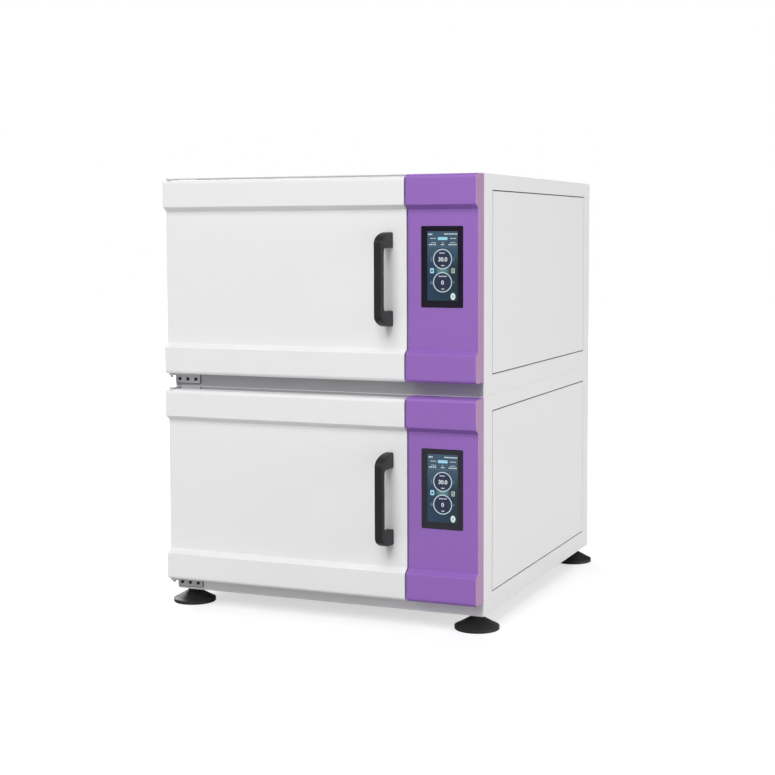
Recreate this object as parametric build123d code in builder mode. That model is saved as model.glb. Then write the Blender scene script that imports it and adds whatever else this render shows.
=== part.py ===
from build123d import *
import math
import os

# Stacked orbital incubator shaker: two identical units on one set of levelling feet.
# Millimetres. X runs to the right, the doors face -Y, Z is up from the floor.
# X = 0 and Y = 0 are the middle of the whole footprint, handles included.
# Inside one unit every height is counted from the underside of that unit's own cabinet.

os.makedirs("parts", exist_ok=True)

# Cabinet
unit_width = 760.0
unit_depth = 850.0
unit_height = 480.0
case_sheet = 1.5
case_edge = 1.2
pan_height = 25.0
pan_sheet = 2.0
pan_lip = 22.0
back_recess = 8.0
electronics_bay = 162.0
rear_bay = 100.0

# Chamber
side_insulation = 40.5
partition_insulation = 40.0
ceiling_insulation = 38.5
floor_insulation = 20.0
rear_insulation = 38.0
slab_joint = 0.3
liner_sheet = 1.0

# Access panel in the right side
panel_front_margin = 59.0
panel_rear_margin = 55.0
panel_bottom_margin = 46.0
panel_top_margin = 37.0
panel_gap = 2.5
panel_corner = 2.0
panel_seat = 14.0
ledge_overlap = 7.0

# Door and fascia share one moulded front line: two proud bands and a set-back middle
front_bottom = 31.0
door_head_gap = 6.0
fascia_head_gap = 1.5
band_depth = 50.0
recess_depth = 35.0
band_height = 61.0
slope_height = 9.5
band_corner = 9.0
slope_edge_corner = 2.5
slope_root_corner = 1.5
front_end_corner = 2.0
fascia_width = 161.5
fascia_wall = 3.0
door_gap = 3.0
door_back_gap = 6.0
door_sheet = 1.5
lining_raise = 3.5

# Door seal
seal_width = 12.0
seal_margin = 1.5
seal_clearance = 0.3
seal_corner = 6.0

# Hinges
pin_radius = 3.0
pin_inset = 9.0
pin_depth = 34.0
pin_length = 14.0
pin_end_gap = 1.0
pin_tail = 4.0
running_clearance = 0.05
collar_radius = 5.0
collar_height = 1.5
hinge_clearance = 0.3
arm_thickness = 3.0
arm_radius = 8.0
plate_length = 66.0
plate_height = 21.0
plate_thickness = 3.0
plate_corner = 3.0
hinge_screw_count = 3
hinge_screw_pitch = 21.0
hinge_screw_radius = 2.0
hinge_head_radius = 3.8
hinge_head_height = 2.0

# Bridge handle
handle_length = 204.0
handle_reach = 64.0
handle_width = 19.0
handle_bar = 15.0
handle_foot = 34.0
handle_flat = 7.0
handle_shoulder = 24.0
handle_inner_corner = 10.0
handle_edge = 3.0
handle_side_margin = 31.5
handle_screw_radius = 3.0
handle_screw_engagement = 14.0
handle_head_radius = 5.5
handle_head_height = 4.0

# Touch display
screen_width = 96.0
screen_height = 175.0
screen_top_margin = 36.0
screen_side_margin = 34.5
screen_proud = 0.8
screen_corner = 3.0
screen_gap = 0.3
screen_flange = 5.0
screen_flange_thickness = 2.0
screen_housing = 12.0
cable_slot = 40.0

# Levelling feet and the nuts that take them
foot_gap = 35.0
foot_radius = 49.5
foot_rim = 8.0
foot_edge = 1.0
foot_shoulder_radius = 43.0
foot_shoulder_height = 11.0
foot_hub_radius = 15.0
foot_hub_height = 8.0
foot_clearance = 0.3
foot_side_inset = 26.0
foot_front_inset = 31.0
foot_rear_inset = 57.0
stud_radius = 6.0
stud_hole_clearance = 0.5
nut_height = 10.0
nut_radius = 11.0
stud_spare = 8.0
stacking_stud_drop = 10.0

# Orbital drive
orbit_radius = 12.5
crank_front_margin = 95.5
idler_rear_margin = 94.5
idler_side_margin = 60.0
base_plate_side_gap = 37.0
base_plate_end_inset = 20.0
base_plate_corner = 20.0
base_plate = 8.0
boss_radius = 23.0
boss_height = 42.0
shaft_radius = 10.0
shaft_depth = 38.0
shaft_end_gap = 1.0
boss_gap = 2.0
crank_pulley_radius = 69.0
crank_pulley = 12.0
motor_pulley_radius = 23.0
pulley_flange = 1.5
pulley_flange_stand = 3.0
belt_centres = 175.0
belt_width = 8.0
belt_thickness = 2.0
belt_gap = 0.3
motor_radius = 45.0
motor_height = 38.0
motor_chamfer = 3.0
motor_shaft_radius = 5.0
motor_shaft_depth = 16.0
counterweight = 7.0
counterweight_inner = 34.0
counterweight_rim = 4.0
idler_disc_radius = 28.0
idler_disc = 8.0
journal_radius = 11.0
idler_journal_clearance = 0.4
housing_radius = 22.0
housing_height = 22.0
housing_roof = 3.0

# Platform over the drive
floor_cover_height = 80.0
floor_cover_sheet = 1.5
floor_cover_side_gap = 0.5
floor_cover_front_gap = 12.0
floor_cover_rear_gap = 10.0
floor_hole_gap = 4.0
platform_gap = 3.0
carrier_plate = 4.0
carrier_bar = 60.0
tray_side_gap = 9.5
tray_rear_gap = 23.0
tray_sheet = 2.0
tray_rim = 12.0
tray_front_gap = 42.0
tray_corner = 10.0
tray_hole_radius = 3.0
tray_hole_columns = 4
tray_hole_rows = 5
tray_hole_side_margin = 85.0
tray_hole_end_margin = 80.0

# Air circulation and heating
duct_depth = 61.0
baffle_sheet = 1.5
baffle_side_margin = 18.0
baffle_end_gap = 0.3
slot_length = 34.0
slot_width = 6.0
outlet_slot_rows = 6
outlet_slot_end_margin = 51.2
outlet_slot_inset = 45.0
inlet_slot_count = 12
inlet_slot_radius = 50.0
fan_radius = 80.0
fan_depth = 30.0
fan_gap = 9.0
fan_plate = 2.0
fan_ring_width = 14.0
fan_blades = 8
fan_blade = 2.0
fan_blade_root = 20.0
fan_blade_bow = 12.0
fan_hub_radius = 14.0
fan_hub_length = 12.0
fan_shaft_radius = 4.0
fan_shaft_engagement = 18.0
fan_motor_radius = 38.0
fan_motor_length = 52.0
fan_motor_plate = 3.0
fan_motor_flange = 84.0
shaft_hole_radius = 7.0
heater_radius = 98.0
heater_tube = 4.0
heater_leg_spacing = 36.0
heater_leg_radius = 3.0

# Electronics bay
board_height = 220.0
board_depth = 300.0
board_thickness = 1.6
board_margin = 12.0
board_inset = 40.0
chip_size = 46.0
chip_height = 12.0
standoff_height = 8.0
standoff_radius = 3.0
supply_width = 50.0
supply_depth = 180.0
supply_height = 100.0
supply_lift = 12.0

# Mains inlet and rocker switch on the back
inlet_side_inset = 62.0
inlet_height = 96.0
inlet_flange_width = 34.0
inlet_flange_height = 74.0
inlet_flange = 3.0
inlet_flange_overlap = 3.5
inlet_fit = 0.5
inlet_body = 30.0
inlet_corner = 3.0
socket_drop = 14.0
socket_width = 24.0
socket_height = 17.0
socket_depth = 20.0
contact_length = 14.0
contact_width = 2.0
contact_height = 5.0
contact_pitch = 7.0
contact_drop = 2.5
switch_rise = 20.0
switch_width = 22.0
switch_height = 14.0
switch_depth = 16.0
rocker_gap = 0.4
rocker_pivot_depth = 2.5
rocker_crown = 2.0
rocker_tilt = 8.0
rocker_pin_radius = 1.5
rocker_pin_length = 1.5
rocker_pin_gap = 0.2
louvre_count = 9
louvre_pitch = 12.0
louvre_length = 90.0
louvre_width = 4.0

# Places that several pieces share
front_y = (handle_reach + recess_depth - unit_depth) / 2
back_y = front_y + unit_depth
left_x = -unit_width / 2
right_x = unit_width / 2
case_middle_y = (front_y + back_y) / 2
panel_back_y = back_y - back_recess
panel_front_y = panel_back_y - case_sheet

bay_x = right_x - electronics_bay
liner_left = left_x + case_sheet + side_insulation
liner_right = bay_x - partition_insulation
liner_bottom = pan_height + floor_insulation
liner_top = unit_height - case_sheet - ceiling_insulation
liner_front = front_y + case_sheet
foam_back = back_y - rear_bay
liner_back = foam_back - rear_insulation
liner_rear_face = liner_back - liner_sheet
mouth_width = liner_right - liner_left
mouth_height = liner_top - liner_bottom
inner_width = mouth_width - 2 * liner_sheet
chamber_x = (liner_left + liner_right) / 2
chamber_z = (liner_bottom + liner_top) / 2
floor_z = liner_bottom + liner_sheet
baffle_front = liner_rear_face - duct_depth

door_top = unit_height - door_head_gap
fascia_top = unit_height - fascia_head_gap
fascia_left = right_x - fascia_width
door_right = fascia_left - door_gap
door_width = door_right - left_x
door_back = front_y - door_back_gap
band_y = front_y - band_depth
recess_y = front_y - recess_depth
slope_lean = math.atan2(slope_height, band_depth - recess_depth)
pin_x = left_x + pin_inset
pin_y = front_y - pin_depth
lower_arm_z = front_bottom - hinge_clearance - collar_height
upper_arm_z = door_top + hinge_clearance + collar_height
hinge_plate_x = pin_x - arm_radius + plate_length / 2
hinge_screw_xs = [
    hinge_plate_x + (n - (hinge_screw_count - 1) / 2) * hinge_screw_pitch for n in range(hinge_screw_count)
]
hinge_screw_zs = (lower_arm_z - arm_thickness - plate_height / 2, upper_arm_z - plate_height / 2)
hinge_screw_points = [(x, z) for x in hinge_screw_xs for z in hinge_screw_zs]

screen_x = right_x - screen_side_margin - screen_width / 2
screen_top = door_top - band_height - slope_height - screen_top_margin
screen_z = screen_top - screen_height / 2
handle_x = door_right - handle_side_margin - handle_width / 2
handle_z = (front_bottom + door_top) / 2
handle_foot_points = [(handle_x, handle_z + side * (handle_length - handle_foot) / 2) for side in (-1, 1)]

tray_width = inner_width - 2 * (tray_side_gap + orbit_radius)
tray_front_y = front_y + tray_front_gap + orbit_radius
tray_depth = baffle_front - tray_rear_gap - orbit_radius - tray_front_y
tray_centre_y = tray_front_y + tray_depth / 2
rest_tray_y = tray_centre_y + orbit_radius

base_plate_width = inner_width - 2 * base_plate_side_gap
base_plate_depth = tray_depth - 2 * base_plate_end_inset
idler_spacing = base_plate_width - 2 * idler_side_margin
crank_y = tray_centre_y - base_plate_depth / 2 + crank_front_margin
idler_y = tray_centre_y + base_plate_depth / 2 - idler_rear_margin
crank_x = chamber_x
crank_axle = (crank_x, crank_y)
motor_axle = (crank_x, crank_y + belt_centres)
idler_axles = [(crank_x + side * idler_spacing / 2, idler_y) for side in (-1, 1)]
axles = [crank_axle] + idler_axles
base_top = floor_z + base_plate
disc_z = base_top + boss_height + boss_gap
belt_z = disc_z + (crank_pulley - belt_width) / 2
cover_top = floor_z + floor_cover_height
housing_z = cover_top + platform_gap
carrier_top = housing_z + housing_height
journal_top = carrier_top - housing_roof - shaft_end_gap
# At rest every journal points to the back, so the platform stands one orbit radius back.
journals = [(x, y + orbit_radius) for x, y in axles]

fan_z = (cover_top + liner_top) / 2
fan_front = baffle_front + baffle_sheet + fan_gap
fan_back = fan_front + fan_depth
inlet_x = right_x - inlet_side_inset
flange_face = panel_back_y + inlet_flange
inlet_body_width = inlet_flange_width - 2 * inlet_flange_overlap
inlet_body_height = inlet_flange_height - 2 * inlet_flange_overlap
rocker_pivot_y = flange_face - rocker_pivot_depth
switch_z = inlet_height + switch_rise

foot_points = [
    (side * (unit_width / 2 - foot_side_inset), y)
    for y in (front_y + foot_front_inset, back_y - foot_rear_inset)
    for side in (-1, 1)
]
foot_names = ("front_left", "front_right", "rear_left", "rear_right")
unit_bases = {"lower": foot_gap, "upper": foot_gap + unit_height}


def level(z, x=0.0, y=0.0):
    """A level plane at a height."""
    return Plane(origin=(x, y, z))


def facing_front(y, x=0.0, z=0.0):
    """An upright plane that looks to the front, local x to the right and local y up."""
    return Plane(origin=(x, y, z), x_dir=(1, 0, 0), z_dir=(0, -1, 0))


def facing_rear(y, x=0.0, z=0.0):
    """An upright plane that looks to the rear, local x to the left and local y up."""
    return Plane(origin=(x, y, z), x_dir=(-1, 0, 0), z_dir=(0, 1, 0))


def facing_right(x, y=0.0, z=0.0):
    """An upright plane that looks to the right, local x to the rear and local y up."""
    return Plane(origin=(x, y, z), x_dir=(0, 1, 0), z_dir=(1, 0, 0))


def base_pan():
    """Folded floor tray of the cabinet: flat bottom, upright sides and inward lips."""
    width = unit_width - 2 * case_sheet
    depth = panel_front_y - liner_front
    middle = (panel_front_y + liner_front) / 2
    with BuildPart() as pan:
        with BuildSketch(level(0, 0, middle)):
            Rectangle(width, depth)
        extrude(amount=pan_height)
        with BuildSketch(level(pan_sheet, 0, middle)):
            Rectangle(width - 2 * pan_sheet, depth - 2 * pan_sheet)
        extrude(amount=pan_height - 2 * pan_sheet, mode=Mode.SUBTRACT)
        with BuildSketch(level(pan_height, 0, middle)):
            Rectangle(width - 2 * pan_lip, depth - 2 * pan_lip)
        extrude(amount=-2 * pan_sheet, mode=Mode.SUBTRACT)
        with BuildSketch(level(0)):
            with Locations(*foot_points):
                Circle(stud_radius + stud_hole_clearance)
        extrude(amount=pan_sheet, mode=Mode.SUBTRACT)
    return pan.part


def access_rectangle(margin):
    """The access panel's outline grown by a margin, drawn in the sketch that is open."""
    depth = unit_depth - panel_front_margin - panel_rear_margin
    height = unit_height - panel_bottom_margin - panel_top_margin
    RectangleRounded(depth + 2 * margin, height + 2 * margin, panel_corner)


def access_plane(x):
    """The right-hand side's plane with its origin in the middle of the access panel."""
    y = (front_y + back_y + panel_front_margin - panel_rear_margin) / 2
    z = (unit_height + panel_bottom_margin - panel_top_margin) / 2
    return facing_right(x, y, z)


def case_top(stacked):
    """Painted top sheet with softened long edges, holed where a second unit stands on it."""
    with BuildPart() as sheet:
        with BuildSketch(level(unit_height - case_sheet, 0, case_middle_y)):
            Rectangle(unit_width, unit_depth)
        extrude(amount=case_sheet)
        fillet(sheet.edges().filter_by(Axis.Y).group_by(Axis.Z)[-1], radius=case_edge)
        if stacked:
            with BuildSketch(level(unit_height)):
                with Locations(*foot_points):
                    Circle(stud_radius + stud_hole_clearance)
            extrude(amount=-case_sheet, mode=Mode.SUBTRACT)
    return sheet.part


def case_side():
    """Painted left side sheet under the top sheet."""
    with BuildPart() as sheet:
        with BuildSketch(facing_right(left_x, case_middle_y, (unit_height - case_sheet) / 2)):
            Rectangle(unit_depth, unit_height - case_sheet)
        extrude(amount=case_sheet)
    return sheet.part


def case_access_side():
    """Painted right side sheet with the access opening and the seat ledge behind it."""
    with BuildPart() as sheet:
        with BuildSketch(facing_right(right_x - case_sheet, case_middle_y, (unit_height - case_sheet) / 2)):
            Rectangle(unit_depth, unit_height - case_sheet)
        extrude(amount=case_sheet)
        with BuildSketch(access_plane(right_x - case_sheet)):
            access_rectangle(panel_gap)
        extrude(amount=case_sheet, mode=Mode.SUBTRACT)
        with BuildSketch(access_plane(right_x - 2 * case_sheet)):
            access_rectangle(panel_gap + ledge_overlap)
        extrude(amount=case_sheet)
        with BuildSketch(access_plane(right_x - 2 * case_sheet)):
            access_rectangle(-panel_seat)
        extrude(amount=case_sheet, mode=Mode.SUBTRACT)
    return sheet.part


def side_panel():
    """Flat access panel that lies flush in the right side with an even shadow gap."""
    with BuildPart() as panel:
        with BuildSketch(access_plane(right_x - case_sheet)):
            access_rectangle(0)
        extrude(amount=case_sheet)
    return panel.part


def front_frame():
    """Front sheet between the case sides, with the chamber mouth and a cable hole."""
    height = unit_height - case_sheet
    with BuildPart() as frame:
        with BuildSketch(facing_front(front_y, 0, height / 2)):
            Rectangle(unit_width - 2 * case_sheet, height)
        extrude(amount=-case_sheet)
        with BuildSketch(facing_front(front_y, chamber_x, chamber_z)):
            Rectangle(mouth_width, mouth_height)
        extrude(amount=-case_sheet, mode=Mode.SUBTRACT)
        with BuildSketch(facing_front(front_y, screen_x, screen_z)):
            SlotOverall(2 * cable_slot, cable_slot, rotation=90)
        extrude(amount=-case_sheet, mode=Mode.SUBTRACT)
        with BuildSketch(facing_front(front_y)):
            with Locations(*hinge_screw_points):
                Circle(hinge_screw_radius + running_clearance)
        extrude(amount=-case_sheet, mode=Mode.SUBTRACT)
    return frame.part


def back_panel():
    """Rear sheet, set in from the case edge, with louvres and the mains cut-out."""
    height = unit_height - case_sheet
    with BuildPart() as panel:
        with BuildSketch(facing_front(panel_front_y, 0, height / 2)):
            Rectangle(unit_width - 2 * case_sheet, height)
        extrude(amount=-case_sheet)
        with BuildSketch(facing_front(panel_front_y, 0, height / 2)):
            with GridLocations(unit_width / 3, louvre_pitch, 2, louvre_count):
                SlotOverall(louvre_length, louvre_width)
        extrude(amount=-case_sheet, mode=Mode.SUBTRACT)
        with BuildSketch(facing_front(panel_front_y, inlet_x, inlet_height)):
            Rectangle(inlet_body_width + 2 * inlet_fit, inlet_body_height + 2 * inlet_fit)
        extrude(amount=-case_sheet, mode=Mode.SUBTRACT)
    return panel.part


def insulation(stacked):
    """Rigid foam slabs between case and liner: two sides, floor, roof and rear."""
    left = left_x + case_sheet
    top = unit_height - case_sheet
    mouth_left = chamber_x - mouth_width / 2
    mouth_right = chamber_x + mouth_width / 2
    mouth_floor = chamber_z - mouth_height / 2
    mouth_roof = chamber_z + mouth_height / 2
    between = (mouth_left + slab_joint, mouth_right - slab_joint)
    slabs = (
        ((left, mouth_left), (pan_height, top), liner_front),
        ((mouth_right, bay_x), (pan_height, top), liner_front),
        (between, (pan_height, mouth_floor), liner_front),
        (between, (mouth_roof, top), liner_front),
        (between, (mouth_floor + slab_joint, mouth_roof - slab_joint), liner_back),
    )
    with BuildPart() as foam:
        for (x_low, x_high), (z_low, z_high), front in slabs:
            with BuildSketch(facing_front(front, (x_low + x_high) / 2, (z_low + z_high) / 2)):
                Rectangle(x_high - x_low, z_high - z_low)
            extrude(amount=front - foam_back)
        with BuildSketch(facing_front(liner_back, chamber_x, fan_z)):
            Circle(shaft_hole_radius)
        extrude(amount=-rear_insulation, mode=Mode.SUBTRACT)
        if stacked:
            with BuildSketch(level(top)):
                with Locations(*foot_points[:1]):
                    Circle(stud_radius + stud_hole_clearance)
            extrude(amount=-stacking_stud_drop, mode=Mode.SUBTRACT)
    return foam.part


def liner():
    """Stainless chamber liner, a five-sided tub of thin sheet."""
    with BuildPart() as tub:
        with BuildSketch(facing_front(liner_front, chamber_x, chamber_z)):
            Rectangle(mouth_width, mouth_height)
        extrude(amount=liner_front - liner_back)
        with BuildSketch(facing_front(liner_front, chamber_x, chamber_z)):
            Rectangle(mouth_width - 2 * liner_sheet, mouth_height - 2 * liner_sheet)
        extrude(amount=liner_front - liner_rear_face, mode=Mode.SUBTRACT)
        with BuildSketch(facing_front(liner_rear_face, chamber_x, fan_z)):
            Circle(shaft_hole_radius)
        extrude(amount=-liner_sheet, mode=Mode.SUBTRACT)
    return tub.part


def front_profile(x, back, top, wall=0.0):
    """Side section of the moulded front: two rounded bands, slopes and the set-back middle.

    With a wall it is the same line that far inside, for the hollow behind a skin.
    """
    shift = wall * (1 / math.cos(slope_lean) - math.tan(slope_lean))
    band = band_y + wall
    recess = recess_y + wall
    low_step = front_bottom + band_height - shift
    high_step = door_top - band_height + shift
    with BuildSketch(facing_right(x)) as section:
        with BuildLine():
            Polyline(
                (back, front_bottom + wall),
                (band, front_bottom + wall),
                (band, low_step),
                (recess, low_step + slope_height),
                (recess, high_step - slope_height),
                (band, high_step),
                (band, top - wall),
                (back, top - wall),
                close=True,
            )
        make_face()
        edges = section.vertices().group_by(Axis.X)[0].sort_by(Axis.Y)[1:3]
        roots = section.vertices().group_by(Axis.X)[1]
        fillet(edges, radius=slope_edge_corner)
        fillet(roots, radius=slope_root_corner)
        ends = section.vertices().sort_by(Axis.X)[:4].sort_by(Axis.Y)
        fillet([ends[0], ends[-1]], radius=band_corner - wall)
    return section.sketch


def moulded_front(x, width, back, top):
    """The moulded front line as a solid block, its outline rounded at both ends."""
    with BuildPart() as block:
        extrude(front_profile(x, back, top), amount=width)
        for end in (block.faces().sort_by(Axis.X)[0], block.faces().sort_by(Axis.X)[-1]):
            fillet(end.edges().sort_by(Axis.Y)[:-1], radius=front_end_corner)
    return block.part


def fascia():
    """Moulded fascia column beside the door, hollow behind, with the display window."""
    with BuildPart() as panel:
        add(moulded_front(fascia_left, fascia_width, front_y, fascia_top))
        hollow = front_profile(fascia_left + fascia_wall, front_y, fascia_top, fascia_wall)
        extrude(hollow, amount=fascia_width - 2 * fascia_wall, mode=Mode.SUBTRACT)
        with BuildSketch(facing_front(recess_y, screen_x, screen_z)):
            RectangleRounded(screen_width, screen_height, screen_corner)
        extrude(amount=-fascia_wall, mode=Mode.SUBTRACT)
    return panel.part


def display():
    """Portrait touch display: glass in the window, a flange behind it and the housing."""
    width = screen_width - 2 * screen_gap
    height = screen_height - 2 * screen_gap
    wall_back = facing_front(recess_y + fascia_wall, screen_x, screen_z)
    with BuildPart() as screen:
        with BuildSketch(wall_back):
            RectangleRounded(width, height, screen_corner)
        extrude(amount=fascia_wall + screen_proud)
        fillet(screen.faces().sort_by(Axis.Y)[0].edges(), radius=screen_proud / 2)
        with BuildSketch(wall_back):
            Rectangle(width + 2 * screen_flange, height + 2 * screen_flange)
        extrude(amount=-screen_flange_thickness)
        with BuildSketch(wall_back):
            Rectangle(width, height)
        extrude(amount=-screen_housing)
    return screen.part


def foot_rounds(start_y, end_y, radius, mode):
    """One round bore or shank behind each handle foot, in the part that is open."""
    with BuildSketch(facing_front(start_y)) as pair:
        with Locations(*handle_foot_points):
            Circle(radius)
    extrude(pair.sketch, amount=start_y - end_y, mode=mode)


def pin_bores(depth):
    """Bores for both hinge pins, inwards from the door's ends, in the part that is open."""
    for z, inward in ((front_bottom, 1), (door_top, -1)):
        with BuildSketch(level(z, pin_x, pin_y)) as bore:
            Circle(pin_radius + running_clearance)
        extrude(bore.sketch, amount=inward * depth, mode=Mode.SUBTRACT)


def door_skin():
    """Painted door shell, a folded pan with rounded bands, open at the back."""
    with BuildPart() as skin:
        add(moulded_front(left_x, door_width, door_back, door_top))
        hollow = front_profile(left_x + door_sheet, door_back, door_top, door_sheet)
        extrude(hollow, amount=door_width - 2 * door_sheet, mode=Mode.SUBTRACT)
        foot_rounds(recess_y, recess_y + door_sheet, handle_screw_radius + running_clearance, Mode.SUBTRACT)
        pin_bores(door_sheet)
    return skin.part


def door_inner():
    """Insulated core of the door, its inner moulding raised inside the seal."""
    seat_y = door_back - handle_head_height
    with BuildPart() as core:
        section = front_profile(left_x + door_sheet, door_back, door_top, door_sheet)
        extrude(section, amount=door_width - 2 * door_sheet)
        with BuildSketch(facing_front(door_back, chamber_x, chamber_z)):
            RectangleRounded(mouth_width - 2 * seal_margin, mouth_height - 2 * seal_margin, seal_corner)
        extrude(amount=-lining_raise)
        foot_rounds(recess_y, seat_y, handle_screw_radius + running_clearance, Mode.SUBTRACT)
        foot_rounds(seat_y, front_y, handle_head_radius + running_clearance, Mode.SUBTRACT)
        pin_bores(pin_length + pin_end_gap)
    return core.part


def door_gasket():
    """Seal ring on the back of the door, just clear of the front frame when shut."""
    inner_width = mouth_width + 2 * seal_margin
    inner_height = mouth_height + 2 * seal_margin
    outer_corner = seal_corner + seal_width
    with BuildPart() as seal:
        with BuildSketch(facing_front(door_back, chamber_x, chamber_z)):
            RectangleRounded(inner_width + 2 * seal_width, inner_height + 2 * seal_width, outer_corner)
            RectangleRounded(inner_width, inner_height, seal_corner, mode=Mode.SUBTRACT)
        extrude(amount=seal_clearance - door_back_gap)
    return seal.part


def handle():
    """Bridge handle: curved shoulders, a slim grip bar and two feet on the door."""
    half = handle_length / 2
    bar_front = recess_y - handle_reach
    window_depth = handle_reach - handle_bar
    with BuildPart() as grip:
        with BuildSketch(facing_right(handle_x - handle_width / 2, 0, handle_z)):
            with BuildLine():
                foot_top = Line((recess_y, half), (recess_y - handle_flat, half))
                shoulder = EllipticalCenterArc(
                    (recess_y - handle_flat, half - handle_shoulder),
                    handle_reach - handle_flat,
                    handle_shoulder,
                    start_angle=90,
                    arc_size=90,
                )
                Polyline(shoulder @ 1, (bar_front, 0), (recess_y, 0), foot_top @ 0)
            make_face()
            mirror(about=Plane.XZ)
            with Locations((recess_y - window_depth / 2 + handle_inner_corner / 2, 0)):
                RectangleRounded(
                    window_depth + handle_inner_corner,
                    handle_length - 2 * handle_foot,
                    handle_inner_corner,
                    mode=Mode.SUBTRACT,
                )
        extrude(amount=handle_width)
        rims = grip.faces().sort_by(Axis.X)[0].edges() + grip.faces().sort_by(Axis.X)[-1].edges()
        wall_edges = grip.faces().sort_by(Axis.Y)[-1].edges() + grip.faces().sort_by(Axis.Y)[-2].edges()
        fillet([edge for edge in rims if edge not in wall_edges], radius=handle_edge)
        bore_end = recess_y - handle_screw_engagement - pin_end_gap
        foot_rounds(recess_y, bore_end, handle_screw_radius + running_clearance, Mode.SUBTRACT)
    return grip.part


def handle_screws():
    """Two screws from the inside of the door into the handle's feet."""
    seat_y = door_back - handle_head_height
    with BuildPart() as screws:
        foot_rounds(seat_y, recess_y - handle_screw_engagement, handle_screw_radius, Mode.ADD)
        foot_rounds(door_back, seat_y, handle_head_radius, Mode.ADD)
    return screws.part


def hinge_bracket(arm_z, outward):
    """Screwed plate and arm with a collar and the pin that enters the door's end.

    Outward is -1 for the bracket under the door and 1 for the one above it.
    """
    plate_top = max(arm_z, arm_z + outward * arm_thickness)
    pin_rise = collar_height + hinge_clearance + pin_length
    with BuildPart() as bracket:
        with BuildSketch(facing_front(front_y, hinge_plate_x, plate_top - (plate_height + arm_thickness) / 2)):
            RectangleRounded(plate_length, plate_height + arm_thickness, plate_corner)
        extrude(amount=plate_thickness)
        with BuildSketch(level(arm_z, pin_x, pin_y)):
            Circle(arm_radius)
            with Locations((0, pin_depth / 2)):
                Rectangle(2 * arm_radius, pin_depth)
        extrude(amount=outward * arm_thickness)
        with BuildSketch(level(arm_z, pin_x, pin_y)):
            Circle(collar_radius)
        extrude(amount=-outward * collar_height)
        with BuildSketch(level(arm_z, pin_x, pin_y)):
            Circle(pin_radius)
        extrude(amount=-outward * pin_rise)
        if outward < 0:
            with BuildSketch(level(arm_z - arm_thickness, pin_x, pin_y)):
                Circle(pin_radius)
            extrude(amount=-pin_tail)
        with BuildSketch(facing_front(front_y - plate_thickness)):
            with Locations(*hinge_screw_points):
                Circle(hinge_screw_radius + running_clearance)
        extrude(amount=-plate_thickness, mode=Mode.SUBTRACT)
    return bracket.part


def hinge_screws():
    """Cap screws through both hinge plates into the front frame."""
    with BuildPart() as screws:
        with BuildSketch(facing_front(front_y + case_sheet)):
            with Locations(*hinge_screw_points):
                Circle(hinge_screw_radius)
        extrude(amount=case_sheet + plate_thickness)
        with BuildSketch(facing_front(front_y - plate_thickness)):
            with Locations(*hinge_screw_points):
                Circle(hinge_head_radius)
        extrude(amount=hinge_head_height)
    return screws.part


def foot(point):
    """Levelling foot turned in one piece: wide disc, cone, hub and the threaded stud."""
    x, y = point
    hub_top = foot_gap - foot_clearance
    hub_start = hub_top - foot_hub_height
    stud_top = foot_gap + pan_sheet + nut_height + stud_spare
    with BuildPart() as disc:
        with BuildSketch(facing_front(y, x)):
            with BuildLine():
                Polyline(
                    (0, 0),
                    (foot_radius - foot_edge, 0),
                    (foot_radius, foot_edge),
                    (foot_radius, foot_rim),
                    (foot_shoulder_radius, foot_shoulder_height),
                    (foot_hub_radius, hub_start),
                    (foot_hub_radius, hub_top),
                    (stud_radius, hub_top),
                    (stud_radius, stud_top),
                    (0, stud_top),
                    close=True,
                )
            make_face()
        revolve(axis=Axis((x, y, 0), (0, 0, 1)))
    return disc.part


def foot_nuts():
    """Weld nuts on the pan floor that take the levelling studs."""
    with BuildPart() as nuts:
        with BuildSketch(level(pan_sheet)):
            with Locations(*foot_points):
                RegularPolygon(nut_radius, 6)
                Circle(stud_radius + running_clearance, mode=Mode.SUBTRACT)
        extrude(amount=nut_height)
    return nuts.part


def stacking_studs():
    """Studs in the upper unit's nuts that drop into holes in the lower unit's top."""
    start = unit_bases["upper"] - stacking_stud_drop + stud_hole_clearance
    with BuildPart() as studs:
        with BuildSketch(level(start)):
            with Locations(*foot_points):
                Circle(stud_radius)
        extrude(amount=unit_bases["upper"] + pan_sheet + nut_height - start)
    return studs.part


def drive_base():
    """Cast drive plate with one bearing boss for the crank and one for each idler."""
    with BuildPart() as base:
        with BuildSketch(level(floor_z, chamber_x, tray_centre_y)):
            RectangleRounded(base_plate_width, base_plate_depth, base_plate_corner)
        extrude(amount=base_plate)
        with BuildSketch(level(base_top)):
            with Locations(*axles):
                Circle(boss_radius)
        extrude(amount=boss_height)
        with BuildSketch(level(base_top + boss_height)):
            with Locations(*axles):
                Circle(shaft_radius + running_clearance)
        extrude(amount=-shaft_depth - shaft_end_gap, mode=Mode.SUBTRACT)
    return base.part


def drive_motor():
    """Flat motor that stands on the drive plate, with its shaft hole upward."""
    with BuildPart() as motor:
        with BuildSketch(level(base_top, *motor_axle)):
            Circle(motor_radius)
        extrude(amount=motor_height)
        chamfer(motor.faces().sort_by(Axis.Z)[-1].edges(), length=motor_chamfer)
        with BuildSketch(level(base_top + motor_height, *motor_axle)):
            Circle(motor_shaft_radius + running_clearance)
        extrude(amount=-motor_shaft_depth - shaft_end_gap, mode=Mode.SUBTRACT)
    return motor.part


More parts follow.
